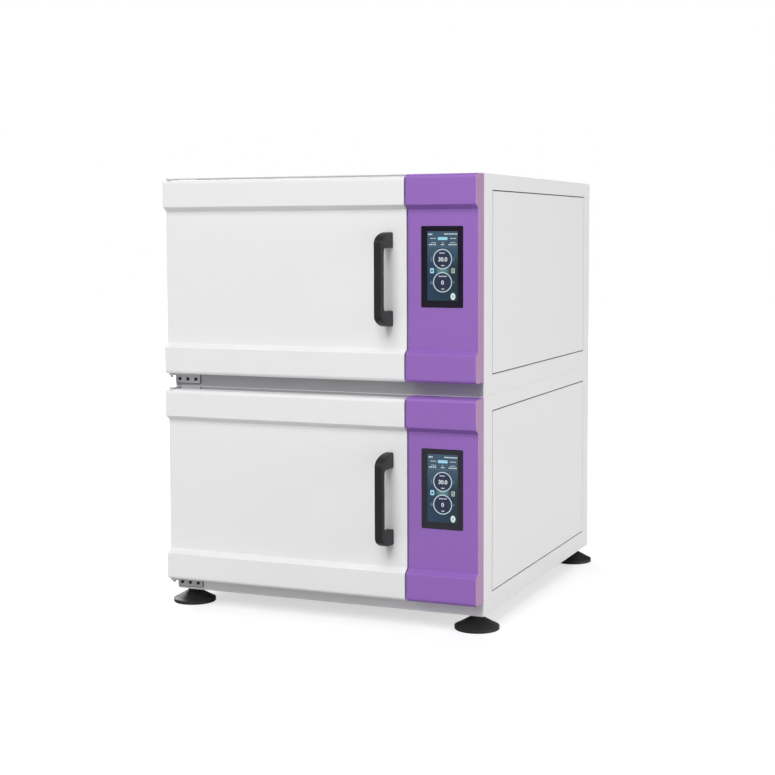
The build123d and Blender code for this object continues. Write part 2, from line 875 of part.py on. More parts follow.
def motor_pulley():
    """Small flanged belt pulley with its shaft reaching down into the motor."""
    with BuildPart() as pulley:
        with BuildSketch(level(disc_z, *motor_axle)):
            Circle(motor_pulley_radius)
        extrude(amount=crank_pulley)
        for z in (disc_z, disc_z + crank_pulley - pulley_flange):
            with BuildSketch(level(z, *motor_axle)):
                Circle(motor_pulley_radius + pulley_flange_stand)
            extrude(amount=pulley_flange)
        with BuildSketch(level(disc_z, *motor_axle)):
            Circle(motor_shaft_radius)
        extrude(amount=base_top + motor_height - motor_shaft_depth - disc_z)
    return pulley.part


def belt_outline(margin):
    """Loop round both pulleys, a margin outside their rims, in the sketch that is open."""
    with Locations(crank_axle):
        Circle(crank_pulley_radius + margin)
    with Locations(motor_axle):
        Circle(motor_pulley_radius + margin)
    make_hull()


def drive_belt():
    """Flat drive belt from the motor pulley to the crank's rim."""
    with BuildPart() as belt:
        with BuildSketch(level(belt_z)):
            belt_outline(belt_gap + belt_thickness)
        extrude(amount=belt_width)
        with BuildSketch(level(belt_z)):
            belt_outline(belt_gap)
        extrude(amount=belt_width, mode=Mode.SUBTRACT)
    return belt.part


def shaft_and_journal(axle, journal, journal_z):
    """Lower shaft on the axle and the eccentric journal above, in the part that is open."""
    with BuildSketch(level(disc_z, *axle)) as shaft:
        Circle(shaft_radius)
    extrude(shaft.sketch, amount=-boss_gap - shaft_depth)
    with BuildSketch(level(journal_z, *journal)) as eccentric:
        Circle(journal_radius)
    extrude(eccentric.sketch, amount=journal_top - journal_z)


def main_crank():
    """Driven eccentric: belt rim, journal for the platform and the counterweight opposite."""
    weight_radius = crank_pulley_radius - counterweight_rim
    top = disc_z + crank_pulley
    with BuildPart() as crank:
        with BuildSketch(level(disc_z, *crank_axle)):
            Circle(crank_pulley_radius)
        extrude(amount=crank_pulley)
        with BuildSketch(level(top, *crank_axle)):
            Circle(weight_radius)
            Circle(counterweight_inner, mode=Mode.SUBTRACT)
            with Locations((0, weight_radius)):
                Rectangle(2 * weight_radius, 2 * weight_radius, mode=Mode.SUBTRACT)
        extrude(amount=counterweight)
        shaft_and_journal(crank_axle, journals[0], top)
    return crank.part


def idler(number):
    """Follower eccentric that keeps the platform from turning."""
    with BuildPart() as follower:
        with BuildSketch(level(disc_z, *idler_axles[number])):
            Circle(idler_disc_radius)
        extrude(amount=idler_disc)
        shaft_and_journal(idler_axles[number], journals[number + 1], disc_z + idler_disc)
    return follower.part


def platform_carrier():
    """Frame under the tray with a bearing housing over each eccentric journal."""
    clearances = (running_clearance, idler_journal_clearance, idler_journal_clearance)
    width = idler_spacing + carrier_bar
    depth = idler_y - crank_y + carrier_bar
    middle = (journals[0][1] + journals[1][1]) / 2
    with BuildPart() as carrier:
        with BuildSketch(level(carrier_top, crank_x, middle)):
            Rectangle(width, depth)
            Rectangle(width - 2 * carrier_bar, depth - 2 * carrier_bar, mode=Mode.SUBTRACT)
        extrude(amount=-carrier_plate)
        with BuildSketch(level(housing_z)):
            with Locations(*journals):
                Circle(housing_radius)
        extrude(amount=housing_height)
        for journal, clearance in zip(journals, clearances):
            with BuildSketch(level(housing_z, *journal)):
                Circle(journal_radius + clearance)
            extrude(amount=housing_height - housing_roof, mode=Mode.SUBTRACT)
    return carrier.part


def platform_tray():
    """Shaking tray: flat sheet with an upturned rim and a grid of clamp holes."""
    inner_corner = tray_corner - tray_sheet
    column_pitch = (tray_width - 2 * tray_hole_side_margin) / (tray_hole_columns - 1)
    row_pitch = (tray_depth - 2 * tray_hole_end_margin) / (tray_hole_rows - 1)
    with BuildPart() as tray:
        with BuildSketch(level(carrier_top, chamber_x, rest_tray_y)):
            RectangleRounded(tray_width, tray_depth, tray_corner)
        extrude(amount=tray_rim)
        with BuildSketch(level(carrier_top + tray_sheet, chamber_x, rest_tray_y)):
            RectangleRounded(tray_width - 2 * tray_sheet, tray_depth - 2 * tray_sheet, inner_corner)
        extrude(amount=tray_rim, mode=Mode.SUBTRACT)
        with BuildSketch(level(carrier_top, chamber_x, rest_tray_y)):
            with GridLocations(column_pitch, row_pitch, tray_hole_columns, tray_hole_rows):
                Circle(tray_hole_radius)
        extrude(amount=tray_sheet, mode=Mode.SUBTRACT)
    return tray.part


def floor_cover():
    """Inverted stainless tray over the drive, with a round hole for each journal."""
    width = inner_width - 2 * floor_cover_side_gap
    front = front_y + floor_cover_front_gap
    depth = liner_rear_face - floor_cover_rear_gap - front
    middle = front + depth / 2
    with BuildPart() as cover:
        with BuildSketch(level(floor_z, chamber_x, middle)):
            Rectangle(width, depth)
        extrude(amount=floor_cover_height)
        with BuildSketch(level(floor_z, chamber_x, middle)):
            Rectangle(width - 2 * floor_cover_sheet, depth - 2 * floor_cover_sheet)
        extrude(amount=floor_cover_height - floor_cover_sheet, mode=Mode.SUBTRACT)
        with BuildSketch(level(cover_top)):
            with Locations(*axles):
                Circle(orbit_radius + journal_radius + floor_hole_gap)
        extrude(amount=-floor_cover_sheet, mode=Mode.SUBTRACT)
    return cover.part


def air_baffle():
    """Rear duct cover with a ring of inlet slots over the fan and outlet slots beside it."""
    width = inner_width - 2 * baffle_side_margin
    bottom = cover_top + baffle_end_gap
    top = liner_top - liner_sheet - baffle_end_gap
    middle = (bottom + top) / 2
    outlet_slot_pitch = (top - bottom - 2 * outlet_slot_end_margin) / (outlet_slot_rows - 1)
    with BuildPart() as baffle:
        with BuildSketch(facing_front(baffle_front, chamber_x, middle)):
            Rectangle(width, top - bottom)
        extrude(amount=-duct_depth)
        with BuildSketch(facing_front(baffle_front + baffle_sheet, chamber_x, middle)):
            Rectangle(width - 2 * baffle_sheet, top - bottom)
        extrude(amount=-duct_depth, mode=Mode.SUBTRACT)
        with BuildSketch(facing_front(baffle_front, chamber_x, fan_z)):
            with PolarLocations(inlet_slot_radius, inlet_slot_count):
                SlotOverall(slot_length, slot_width)
            with GridLocations(width - 2 * outlet_slot_inset, outlet_slot_pitch, 2, outlet_slot_rows):
                SlotOverall(slot_length, slot_width)
        extrude(amount=-baffle_sheet, mode=Mode.SUBTRACT)
    return baffle.part


def fan_wheel():
    """Radial fan wheel: back plate, bowed blades, front ring, hub and shaft."""
    blade_tip = fan_radius - fan_blade
    blade_arc = ThreePointArc(
        (fan_blade_root, 0), ((fan_blade_root + blade_tip) / 2, fan_blade_bow), (blade_tip, 0)
    )
    with BuildPart() as wheel:
        with BuildSketch(facing_front(fan_back, chamber_x, fan_z)):
            Circle(fan_radius)
        extrude(amount=fan_plate)
        with BuildSketch(facing_front(fan_back - fan_plate, chamber_x, fan_z)):
            with PolarLocations(0, fan_blades):
                SlotArc(blade_arc, fan_blade)
        extrude(amount=fan_depth - 2 * fan_plate)
        with BuildSketch(facing_front(fan_front + fan_plate, chamber_x, fan_z)):
            Circle(fan_radius)
            Circle(fan_radius - fan_ring_width, mode=Mode.SUBTRACT)
        extrude(amount=fan_plate)
        with BuildSketch(facing_front(fan_back, chamber_x, fan_z)):
            Circle(fan_hub_radius)
        extrude(amount=-fan_hub_length)
        with BuildSketch(facing_front(fan_back, chamber_x, fan_z)):
            Circle(fan_shaft_radius)
        extrude(amount=fan_back - foam_back - fan_shaft_engagement)
    return wheel.part


def fan_motor():
    """Fan motor in the rear bay, flanged to the back of the insulated wall."""
    with BuildPart() as motor:
        with BuildSketch(facing_front(foam_back, chamber_x, fan_z)):
            RectangleRounded(fan_motor_flange, fan_motor_flange, panel_corner)
        extrude(amount=-fan_motor_plate)
        with BuildSketch(facing_front(foam_back, chamber_x, fan_z)):
            Circle(fan_motor_radius)
        extrude(amount=-fan_motor_length)
        with BuildSketch(facing_front(foam_back, chamber_x, fan_z)):
            Circle(fan_shaft_radius + running_clearance)
        extrude(amount=-fan_shaft_engagement - shaft_end_gap, mode=Mode.SUBTRACT)
    return motor.part


def heater():
    """Ring heater round the fan wheel, held by two legs on the liner's back wall."""
    ring_y = (fan_front + fan_back) / 2
    leg_drop = math.sqrt(heater_radius**2 - (heater_leg_spacing / 2) ** 2)
    with BuildPart() as ring:
        with BuildSketch(level(fan_z, chamber_x, ring_y)):
            with Locations((heater_radius, 0)):
                Circle(heater_tube)
        revolve(axis=Axis((chamber_x, ring_y, fan_z), (0, 1, 0)))
        with BuildSketch(facing_front(liner_rear_face, chamber_x, fan_z - leg_drop)):
            with GridLocations(heater_leg_spacing, 0, 2, 1):
                Circle(heater_leg_radius)
        extrude(amount=liner_rear_face - ring_y)
    return ring.part


def control_board():
    """Control board on stand-offs, on the bay side of the insulated partition."""
    y = front_y + board_inset + board_depth / 2
    z = unit_height - board_inset - board_height / 2
    with BuildPart() as board:
        with BuildSketch(facing_right(bay_x, y, z)):
            with GridLocations(board_depth - 2 * board_margin, board_height - 2 * board_margin, 2, 2):
                Circle(standoff_radius)
        extrude(amount=standoff_height)
        with BuildSketch(facing_right(bay_x + standoff_height, y, z)):
            Rectangle(board_depth, board_height)
        extrude(amount=board_thickness)
        with BuildSketch(facing_right(bay_x + standoff_height + board_thickness, y, z)):
            with GridLocations(2 * chip_size, 2 * chip_size, 2, 2):
                Rectangle(chip_size, chip_size)
        extrude(amount=chip_height)
    return board.part


def power_supply():
    """Enclosed power supply fixed to the partition below the control board."""
    y = front_y + board_inset + supply_depth / 2
    z = pan_height + supply_lift + supply_height / 2
    with BuildPart() as supply:
        with BuildSketch(facing_right(bay_x, y, z)):
            Rectangle(supply_depth, supply_height)
        extrude(amount=supply_width)
        chamfer(supply.faces().sort_by(Axis.X)[-1].edges(), length=case_sheet)
    return supply.part


def power_inlet():
    """Mains inlet module: flanged body, pin socket below and a switch well above it."""
    socket_z = inlet_height - socket_drop
    with BuildPart() as inlet:
        with BuildSketch(facing_rear(panel_back_y, inlet_x, inlet_height)):
            RectangleRounded(inlet_flange_width, inlet_flange_height, inlet_corner)
        extrude(amount=inlet_flange)
        with BuildSketch(facing_rear(panel_back_y, inlet_x, inlet_height)):
            Rectangle(inlet_body_width, inlet_body_height)
        extrude(amount=-inlet_body)
        with BuildSketch(facing_rear(flange_face, inlet_x, socket_z)):
            RectangleRounded(socket_width, socket_height, inlet_corner)
        extrude(amount=-socket_depth, mode=Mode.SUBTRACT)
        with BuildSketch(facing_rear(flange_face - socket_depth, inlet_x, socket_z)):
            with Locations((-contact_pitch, -contact_drop), (0, contact_drop), (contact_pitch, -contact_drop)):
                Rectangle(contact_width, contact_height)
        extrude(amount=contact_length)
        with BuildSketch(facing_rear(flange_face, inlet_x, switch_z)):
            Rectangle(switch_width, switch_height)
        extrude(amount=-switch_depth, mode=Mode.SUBTRACT)
        with BuildSketch(facing_right(inlet_x, rocker_pivot_y, switch_z)):
            Circle(rocker_pin_radius + running_clearance)
        extrude(amount=switch_width / 2 + rocker_pin_length, both=True, mode=Mode.SUBTRACT)
    return inlet.part


def rocker():
    """Rocker key with a shallow V face and two pivot pins, at rest on its off side."""
    radius = switch_height / 2 - rocker_gap
    width = switch_width - 2 * rocker_gap
    rise = radius * math.tan(math.radians(rocker_tilt))
    pin_reach = switch_width / 2 + rocker_pin_length - rocker_pin_gap
    tilt = math.radians(rocker_tilt)
    plane = Plane(
        origin=(inlet_x, rocker_pivot_y, switch_z), x_dir=(0, math.cos(tilt), math.sin(tilt)), z_dir=(1, 0, 0)
    )
    with BuildPart() as key:
        with BuildSketch(plane):
            Circle(radius)
            with BuildLine():
                Polyline(
                    (rocker_crown, 0),
                    (rocker_crown + rise, radius),
                    (2 * radius, radius),
                    (2 * radius, -radius),
                    (rocker_crown + rise, -radius),
                    close=True,
                )
            make_face(mode=Mode.SUBTRACT)
        extrude(amount=width / 2, both=True)
        with BuildSketch(plane):
            Circle(rocker_pin_radius)
        extrude(amount=pin_reach, both=True)
    return key.part


def raised(shape, base):
    """The shape lifted from a unit's own frame to that unit's place in the stack."""
    return Pos(0, 0, base) * shape


def in_both_units(*shapes):
    """One compound with the shapes repeated in the lower and the upper unit."""
    return Compound([raised(shape, base) for base in unit_bases.values() for shape in shapes])


def keep(shape, name):
    """Labels a finished piece and writes it."""
    shape.label = name
    export_step(shape, f"parts/{name}.step")


for point, place in zip(foot_points, foot_names):
    keep(foot(point), f"foot_{place}")
keep(in_both_units(foot_nuts()), "foot_nuts")
keep(stacking_studs(), "stacking_studs")

keep(in_both_units(liner()), "chamber_liners")
keep(in_both_units(front_frame()), "front_frames")
brackets = hinge_bracket(lower_arm_z, -1), hinge_bracket(upper_arm_z, 1)
keep(in_both_units(*brackets), "hinge_brackets")
keep(in_both_units(hinge_screws()), "hinge_screws")
keep(in_both_units(drive_base()), "drive_bases")
keep(in_both_units(drive_motor()), "drive_motors")
keep(in_both_units(drive_belt()), "drive_belts")
keep(in_both_units(floor_cover()), "floor_covers")
keep(in_both_units(air_baffle()), "air_baffles")
keep(in_both_units(fan_motor()), "fan_motors")
keep(in_both_units(heater()), "ring_heaters")
keep(in_both_units(control_board(), power_supply()), "control_electronics")
keep(in_both_units(power_inlet()), "power_inlets")

unit_pieces = {
    "base_pan": base_pan(),
    "side_panel": side_panel(),
    "back_panel": back_panel(),
    "fascia": fascia(),
    "display": display(),
    "door_skin": door_skin(),
    "door_inner": door_inner(),
    "door_gasket": door_gasket(),
    "handle": handle(),
    "handle_screws": handle_screws(),
    "motor_pulley": motor_pulley(),
    "crank": main_crank(),
    "idler_left": idler(0),
    "idler_right": idler(1),
    "platform_carrier": platform_carrier(),
    "platform_tray": platform_tray(),
    "fan_wheel": fan_wheel(),
    "rocker": rocker(),
}
for unit, base in unit_bases.items():
    has_unit_above = unit == "lower"
    sheets = case_top(has_unit_above), case_side(), case_access_side()
    keep(Compound([raised(sheet, base) for sheet in sheets]), f"{unit}_case")
    keep(raised(insulation(has_unit_above), base), f"{unit}_insulation")
    for piece, shape in unit_pieces.items():
        keep(raised(shape, base), f"{unit}_{piece}")
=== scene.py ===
# %% [markdown]
# # Stacked incubator shaker
# Two identical laboratory units stand on one set of levelling feet. The imported model
# comes in first as a fixed frame, with its places in metres. Everything after that
# is looks: a camera, soft light, finishes for the pieces and small parts made one by one.

# %% Load the fixed frame
import bpy
import math
from mathutils import Matrix, Vector


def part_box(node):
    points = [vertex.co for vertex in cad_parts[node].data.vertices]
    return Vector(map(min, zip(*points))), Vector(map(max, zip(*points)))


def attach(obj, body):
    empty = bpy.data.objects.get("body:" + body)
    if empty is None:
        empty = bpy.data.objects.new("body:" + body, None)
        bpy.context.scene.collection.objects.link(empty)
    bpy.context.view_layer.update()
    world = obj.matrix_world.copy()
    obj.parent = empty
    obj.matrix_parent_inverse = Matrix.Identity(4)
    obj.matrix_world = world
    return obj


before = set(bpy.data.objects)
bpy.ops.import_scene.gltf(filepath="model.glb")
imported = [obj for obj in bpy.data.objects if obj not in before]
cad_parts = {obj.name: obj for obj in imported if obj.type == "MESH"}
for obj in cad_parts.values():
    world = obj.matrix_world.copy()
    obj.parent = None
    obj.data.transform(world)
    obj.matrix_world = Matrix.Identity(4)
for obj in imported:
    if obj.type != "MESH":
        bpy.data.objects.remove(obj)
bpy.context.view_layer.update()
scene = bpy.context.scene

# %% [markdown]
# ## The camera
# The photograph was taken from the front right, a little above the middle of the
# stack, with a long lens, so upright edges stay nearly parallel. The place, the turn
# and the lens were worked out from the cabinet's corners. A small downward shift puts
# the object where the photograph has it.

# %% Place the camera
MM = 0.001
photo_size = 775
focal_pixels = 1545.57
axis_row = 345.0
camera_place = Vector((1.4609, -3.5082, 0.8646))
camera_turn = math.radians(22.614)
camera_dip = math.radians(4.091)
camera_roll = math.radians(-0.184)

forward = Vector((
    -math.sin(camera_turn) * math.cos(camera_dip),
    math.cos(camera_turn) * math.cos(camera_dip),
    -math.sin(camera_dip),
))
level_right = Vector((math.cos(camera_turn), math.sin(camera_turn), 0))
level_up = level_right.cross(forward)
right = level_right * math.cos(camera_roll) + level_up * math.sin(camera_roll)
up = level_up * math.cos(camera_roll) - level_right * math.sin(camera_roll)

bpy.ops.object.select_all(action="DESELECT")
bpy.ops.object.camera_add(location=camera_place)
camera = bpy.context.object
camera.name = "photo_camera"
camera.rotation_euler = Matrix((right, up, -forward)).transposed().to_euler()
camera.data.sensor_width = 36
camera.data.lens = focal_pixels / photo_size * 36
camera.data.shift_y = (axis_row - photo_size / 2) / photo_size
camera.data.clip_end = 50
scene.camera = camera
print("lens", round(camera.data.lens, 1), "mm, shift", round(camera.data.shift_y, 3))

# %% [markdown]
# ## Helpers for finishes
# A colour is written as it looks on a screen, as a hex value, and one function turns
# it to the linear numbers that shaders use. One small function adds a shader node with
# its settings and its links, so a material reads like a short recipe.

# %% Colour and node helpers
def linear(hex_colour):
    """Linear colour with full alpha from an sRGB hex value."""
    values = []
    for start in (1, 3, 5):
        value = int(hex_colour[start:start + 2], 16) / 255
        values.append(value / 12.92 if value <= 0.04045 else ((value + 0.055) / 1.055) ** 2.4)
    return (*values, 1.0)


def add_node(tree, kind, settings=None, inputs=None):
    """Adds a node, sets its properties, and fills each input with a value or a link."""
    node = tree.nodes.new(kind)
    for name, value in (settings or {}).items():
        setattr(node, name, value)
    for name, value in (inputs or {}).items():
        socket = node.inputs[name]
        if isinstance(value, bpy.types.NodeSocket):
            tree.links.new(value, socket)
        else:
            socket.default_value = value
    return node


def new_finish(name, **surface):
    """A material with one principled shader. Surface holds its values by socket name."""
    finish = bpy.data.materials.new(name)
    finish.use_nodes = True
    shader = finish.node_tree.nodes["Principled BSDF"]
    for socket, value in surface.items():
        shader.inputs[socket.replace("_", " ")].default_value = value
    return finish, finish.node_tree, shader


def set_finish(finish, *names):
    """Puts a finish on the named nodes of the frame."""
    for name in names:
        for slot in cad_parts[name].material_slots:
            slot.material = finish


def both(*names):
    """The nodes' names in the lower and in the upper unit."""
    return [f"{unit}_{name}" for unit in ("lower", "upper") for name in names]


# %% [markdown]
# ## Studio floor, backdrop and light
# The photograph is a cut-out on pure white. A pale floor that looks white to the
# camera gives that, and it still takes the soft shadow that ties the feet to the ground.
# To light rays it stays a plain pale grey, so it doesn't throw too much light up under
# the doors, where the real machine is dark.

# %% Make the floor
floor_size = 30
floor_albedo = 0.5
near_glow = 0.6
bpy.ops.mesh.primitive_plane_add(size=floor_size, location=(0, 0, 0))
floor = bpy.context.object
floor.name = "studio_floor"
floor_finish, tree, shader = new_finish("matt floor paint", Roughness=0.9)
shader.inputs["Base Color"].default_value = (floor_albedo, floor_albedo, floor_albedo, 1)
path = add_node(tree, "ShaderNodeLightPath")
seen = add_node(tree, "ShaderNodeMath", {"operation": "MAXIMUM"},
                {0: path.outputs["Is Camera Ray"], 1: path.outputs["Is Transmission Ray"]})
place = add_node(tree, "ShaderNodeTexCoord")
distance = add_node(tree, "ShaderNodeVectorMath", {"operation": "LENGTH"},
                    {0: place.outputs["Object"]})
fade = add_node(tree, "ShaderNodeMapRange", None,
                {"Value": distance.outputs["Value"], "From Min": 0.6, "From Max": 2.2,
                 "To Min": near_glow, "To Max": 1.0})
glow = add_node(tree, "ShaderNodeMath", {"operation": "MULTIPLY"},
                {0: seen.outputs[0], 1: fade.outputs["Result"]})
tree.links.new(glow.outputs[0], shader.inputs["Emission Strength"])
shader.inputs["Emission Color"].default_value = (1, 1, 1, 1)
floor.data.materials.append(floor_finish)

# %% [markdown]
# The world is the soft grey room light. Lamp-side rays see a dim room, and the camera
# sees white. Four large area lamps stand in for studio soft boxes. Two stand in front,
# one above the other, so the bands' upper slopes are bright and the strips under the
# doors stay dark. The third stands low on the right and lights the long side evenly. The
# last lights the back, the left side and the top, which the photograph doesn't show.

# %% Light the studio
world = bpy.data.worlds.new("studio_room")
scene.world = world
world.use_nodes = True
tree = world.node_tree
background = tree.nodes["Background"]
path = add_node(tree, "ShaderNodeLightPath")
seen = add_node(tree, "ShaderNodeMath", {"operation": "MAXIMUM"},
                {0: path.outputs["Is Camera Ray"], 1: path.outputs["Is Transmission Ray"]})
room_strength = 0.1
level = add_node(tree, "ShaderNodeMapRange", None,
                 {"Value": seen.outputs[0], "To Min": room_strength, "To Max": 1.0})
tree.links.new(level.outputs["Result"], background.inputs["Strength"])
background.inputs["Color"].default_value = (1, 1, 1, 1)


def soft_box(name, place, aim, size, watts):
    """A square area lamp that points at a place on the object."""
    bpy.ops.object.select_all(action="DESELECT")
    bpy.ops.object.light_add(type="AREA", location=place)
    lamp = bpy.context.object
    lamp.name = name
    lamp.data.shape = "SQUARE"
    lamp.data.size = size
    lamp.data.energy = watts
    lamp.rotation_euler = (Vector(aim) - Vector(place)).to_track_quat("-Z", "Y").to_euler()
    return lamp


middle = (0, 0, 0.5)
soft_box("high_front_box", (0.46, -6.52, 6.39), middle, 4.4, 450)
soft_box("low_front_box", (0.56, -7.96, 4.22), middle, 4.4, 150)
soft_box("side_box", (7.33, -0.26, 2.06), middle, 4.0, 325)
soft_box("rear_box", (-5.0, 5.4, 4.6), middle, 4.0, 560)
scene.view_settings.view_transform = "Standard"

# %% [markdown]
# ## Powder-coated sheet steel
# The cabinet and door are folded steel sheet with a white powder coat. Baked powder
# is smooth but has a faint orange peel, which breaks up reflections without showing as
# a pattern. The real peel is about 1 mm across, too fine for this picture, so
# it is drawn at about 4 mm and kept very shallow.

# %% Powder coat
def powder_coat(name, hex_colour, roughness):
    """Baked powder: a soft gloss with a shallow orange peel."""
    finish, tree, shader = new_finish(name, Roughness=roughness, IOR=1.5)
    shader.inputs["Base Color"].default_value = linear(hex_colour)
    place = add_node(tree, "ShaderNodeTexCoord")
    peel = add_node(tree, "ShaderNodeTexNoise", None,
                    {"Vector": place.outputs["Object"], "Scale": 1 / (4 * MM), "Detail": 2.0})
    bump = add_node(tree, "ShaderNodeBump", None,
                    {"Height": peel.outputs["Fac"], "Strength": 0.04, "Distance": 0.3 * MM})
    tree.links.new(bump.outputs["Normal"], shader.inputs["Normal"])
    cloud = add_node(tree, "ShaderNodeTexNoise", None,
                     {"Vector": place.outputs["Object"], "Scale": 1 / (90 * MM), "Detail": 3.0})
    gloss = add_node(tree, "ShaderNodeMapRange", None,
                     {"Value": cloud.outputs["Fac"], "To Min": roughness - 0.04, "To Max": roughness + 0.04})
    tree.links.new(gloss.outputs["Result"], shader.inputs["Roughness"])
    return finish, tree, shader


def paint_where(tree, shader, where, hex_colour):
    """Mixes another colour into the base colour where the mask is one."""
    base = shader.inputs["Base Color"]
    mix = add_node(tree, "ShaderNodeMix", {"data_type": "RGBA"}, {"Factor": where})
    if base.is_linked:
        tree.links.new(base.links[0].from_socket, mix.inputs[6])
    else:
        mix.inputs[6].default_value = base.default_value
    mix.inputs[7].default_value = linear(hex_colour)
    tree.links.new(mix.outputs[2], base)


white_coat = powder_coat("white powder coat", "#efeff0", 0.5)[0]
set_finish(white_coat, *both("side_panel", "back_panel", "base_pan", "door_skin"))

# %% [markdown]
# The case has two small details that are chosen by place, both painted shade. The ledge behind the access
# panel is painted near black, which makes the thin dark lines of shade above and below the
# panel. The front edge of the top sheet is painted a little grey as painted shade.

# %% Case
case_coat, tree, shader = powder_coat("white powder coat with seal and cut edge", "#efeff0", 0.5)
place = add_node(tree, "ShaderNodeTexCoord")
axes = add_node(tree, "ShaderNodeSeparateXYZ", None, {"Vector": place.outputs["Object"]})
lower_case_low, lower_case_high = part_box("lower_case")
case_low, case_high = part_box("upper_case")
panel_low, panel_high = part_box("lower_side_panel")
sheet_depth = panel_high.x - panel_low.x
unit_rise = case_high.z - lower_case_high.z
painted_shade_ledge_top = panel_high.z + 10 * MM - lower_case_low.z

in_ledge = add_node(tree, "ShaderNodeMath", {"operation": "COMPARE"},
                    {0: axes.outputs["X"], 1: case_high.x - 1.5 * sheet_depth, 2: 0.55 * sheet_depth})
over_base = add_node(tree, "ShaderNodeMath", {"operation": "SUBTRACT"},
                     {0: axes.outputs["Z"], 1: lower_case_low.z})
height = add_node(tree, "ShaderNodeMath", {"operation": "FLOORED_MODULO"},
                  {0: over_base.outputs[0], 1: unit_rise})
under_top = add_node(tree, "ShaderNodeMath", {"operation": "LESS_THAN"},
                     {0: height.outputs[0], 1: painted_shade_ledge_top})
beside_panel = add_node(tree, "ShaderNodeMath", {"operation": "COMPARE"},
                        {0: axes.outputs["Y"], 1: (panel_low.y + panel_high.y) / 2,
                         2: (panel_high.y - panel_low.y) / 2 + 10 * MM})
in_opening = add_node(tree, "ShaderNodeMath", {"operation": "MULTIPLY"},
                      {0: under_top.outputs[0], 1: beside_panel.outputs[0]})
on_painted_shade_ledge = add_node(tree, "ShaderNodeMath", {"operation": "MULTIPLY"},
                    {0: in_ledge.outputs[0], 1: in_opening.outputs[0]})
# The ledge is painted near black as painted shade: the thin dark lines above and below the access panel.
paint_where(tree, shader, on_painted_shade_ledge.outputs[0], "#232325")

at_front = add_node(tree, "ShaderNodeMath", {"operation": "LESS_THAN"},
                    {0: axes.outputs["Y"], 1: case_low.y + 0.3 * MM})
at_top = add_node(tree, "ShaderNodeMath", {"operation": "GREATER_THAN"},
                  {0: axes.outputs["Z"], 1: case_high.z - 2 * MM})
on_painted_grey_top_edge = add_node(tree, "ShaderNodeMath", {"operation": "MULTIPLY"},
                       {0: at_front.outputs[0], 1: at_top.outputs[0]})
# The top sheet's front edge is painted a little grey as painted shade.
paint_where(tree, shader, on_painted_grey_top_edge.outputs[0], "#d2d2d5")
set_finish(case_coat, *both("case"))
print("sheet", round(sheet_depth / MM, 2), "mm, painted shade up to", round(painted_shade_ledge_top / MM, 1), "mm in each unit")

# %% [markdown]
# The front frames are painted grey as painted shade, for the deep shadow between the doors.
# Below the lower door they keep their white coat. The hinge brackets are painted grey as
# painted shade too. Their steel pin's end is painted as a dark dot of shade, and the plate's right
# and lower edges are painted darker than its coat as painted shade.

# %% Front frames and hinge brackets
# The frame is painted grey as painted shade; below the lower door it keeps the white coat.
frame_coat_with_painted_shade, tree, shader = powder_coat("pale grey powder coat", "#b8b8bb", 0.5)
place = add_node(tree, "ShaderNodeTexCoord")
axes = add_node(tree, "ShaderNodeSeparateXYZ", None, {"Vector": place.outputs["Object"]})
door_low, door_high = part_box("lower_door_skin")
over_floor = add_node(tree, "ShaderNodeMath", {"operation": "LESS_THAN"},
                      {0: axes.outputs["Z"], 1: door_low.z})
paint_where(tree, shader, over_floor.outputs[0], "#efeff0")
set_finish(frame_coat_with_painted_shade, "front_frames")

# The bracket is painted grey as painted shade.
bracket_coat_with_painted_shade, tree, shader = powder_coat("pale grey powder coat round a steel pin", "#cdcdd0", 0.5)
place = add_node(tree, "ShaderNodeTexCoord")
axes = add_node(tree, "ShaderNodeSeparateXYZ", None, {"Vector": place.outputs["Object"]})
plate_low, plate_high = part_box("hinge_brackets")
painted_shade_edge_width = 1.2 * MM
at_right = add_node(tree, "ShaderNodeMath", {"operation": "GREATER_THAN"},
                    {0: axes.outputs["X"], 1: plate_high.x - painted_shade_edge_width})
over_plate_foot = add_node(tree, "ShaderNodeMath", {"operation": "SUBTRACT"},
                           {0: axes.outputs["Z"], 1: plate_low.z - 0.1 * MM})
plate_height = add_node(tree, "ShaderNodeMath", {"operation": "FLOORED_MODULO"},
                        {0: over_plate_foot.outputs[0], 1: unit_rise})
at_bottom = add_node(tree, "ShaderNodeMath", {"operation": "LESS_THAN"},
                     {0: plate_height.outputs[0], 1: painted_shade_edge_width})
on_painted_shade_edge = add_node(tree, "ShaderNodeMath", {"operation": "MAXIMUM"},
                   {0: at_right.outputs[0], 1: at_bottom.outputs[0]})
# The plate's right and lower edges are painted dark as painted shade.
paint_where(tree, shader, on_painted_shade_edge.outputs[0], "#4a4a4d")

pin_radius = 3 * MM
pin_middle = (door_low.x + 9 * MM, case_low.y - 34 * MM, 0)
flat_place = add_node(tree, "ShaderNodeVectorMath", {"operation": "MULTIPLY"},
                      {0: place.outputs["Object"], 1: (1, 1, 0)})
from_pin = add_node(tree, "ShaderNodeVectorMath", {"operation": "DISTANCE"},
                    {0: flat_place.outputs["Vector"], 1: pin_middle})
on_painted_shade_pin = add_node(tree, "ShaderNodeMath", {"operation": "LESS_THAN"},
                  {0: from_pin.outputs["Value"], 1: pin_radius + 0.1 * MM})
# The pin's end is painted as a dark dot of shade.
paint_where(tree, shader, on_painted_shade_pin.outputs[0], "#38383b")
set_finish(bracket_coat_with_painted_shade, "hinge_brackets")
print("hinge pin at", [round(v / MM, 1) for v in pin_middle[:2]])
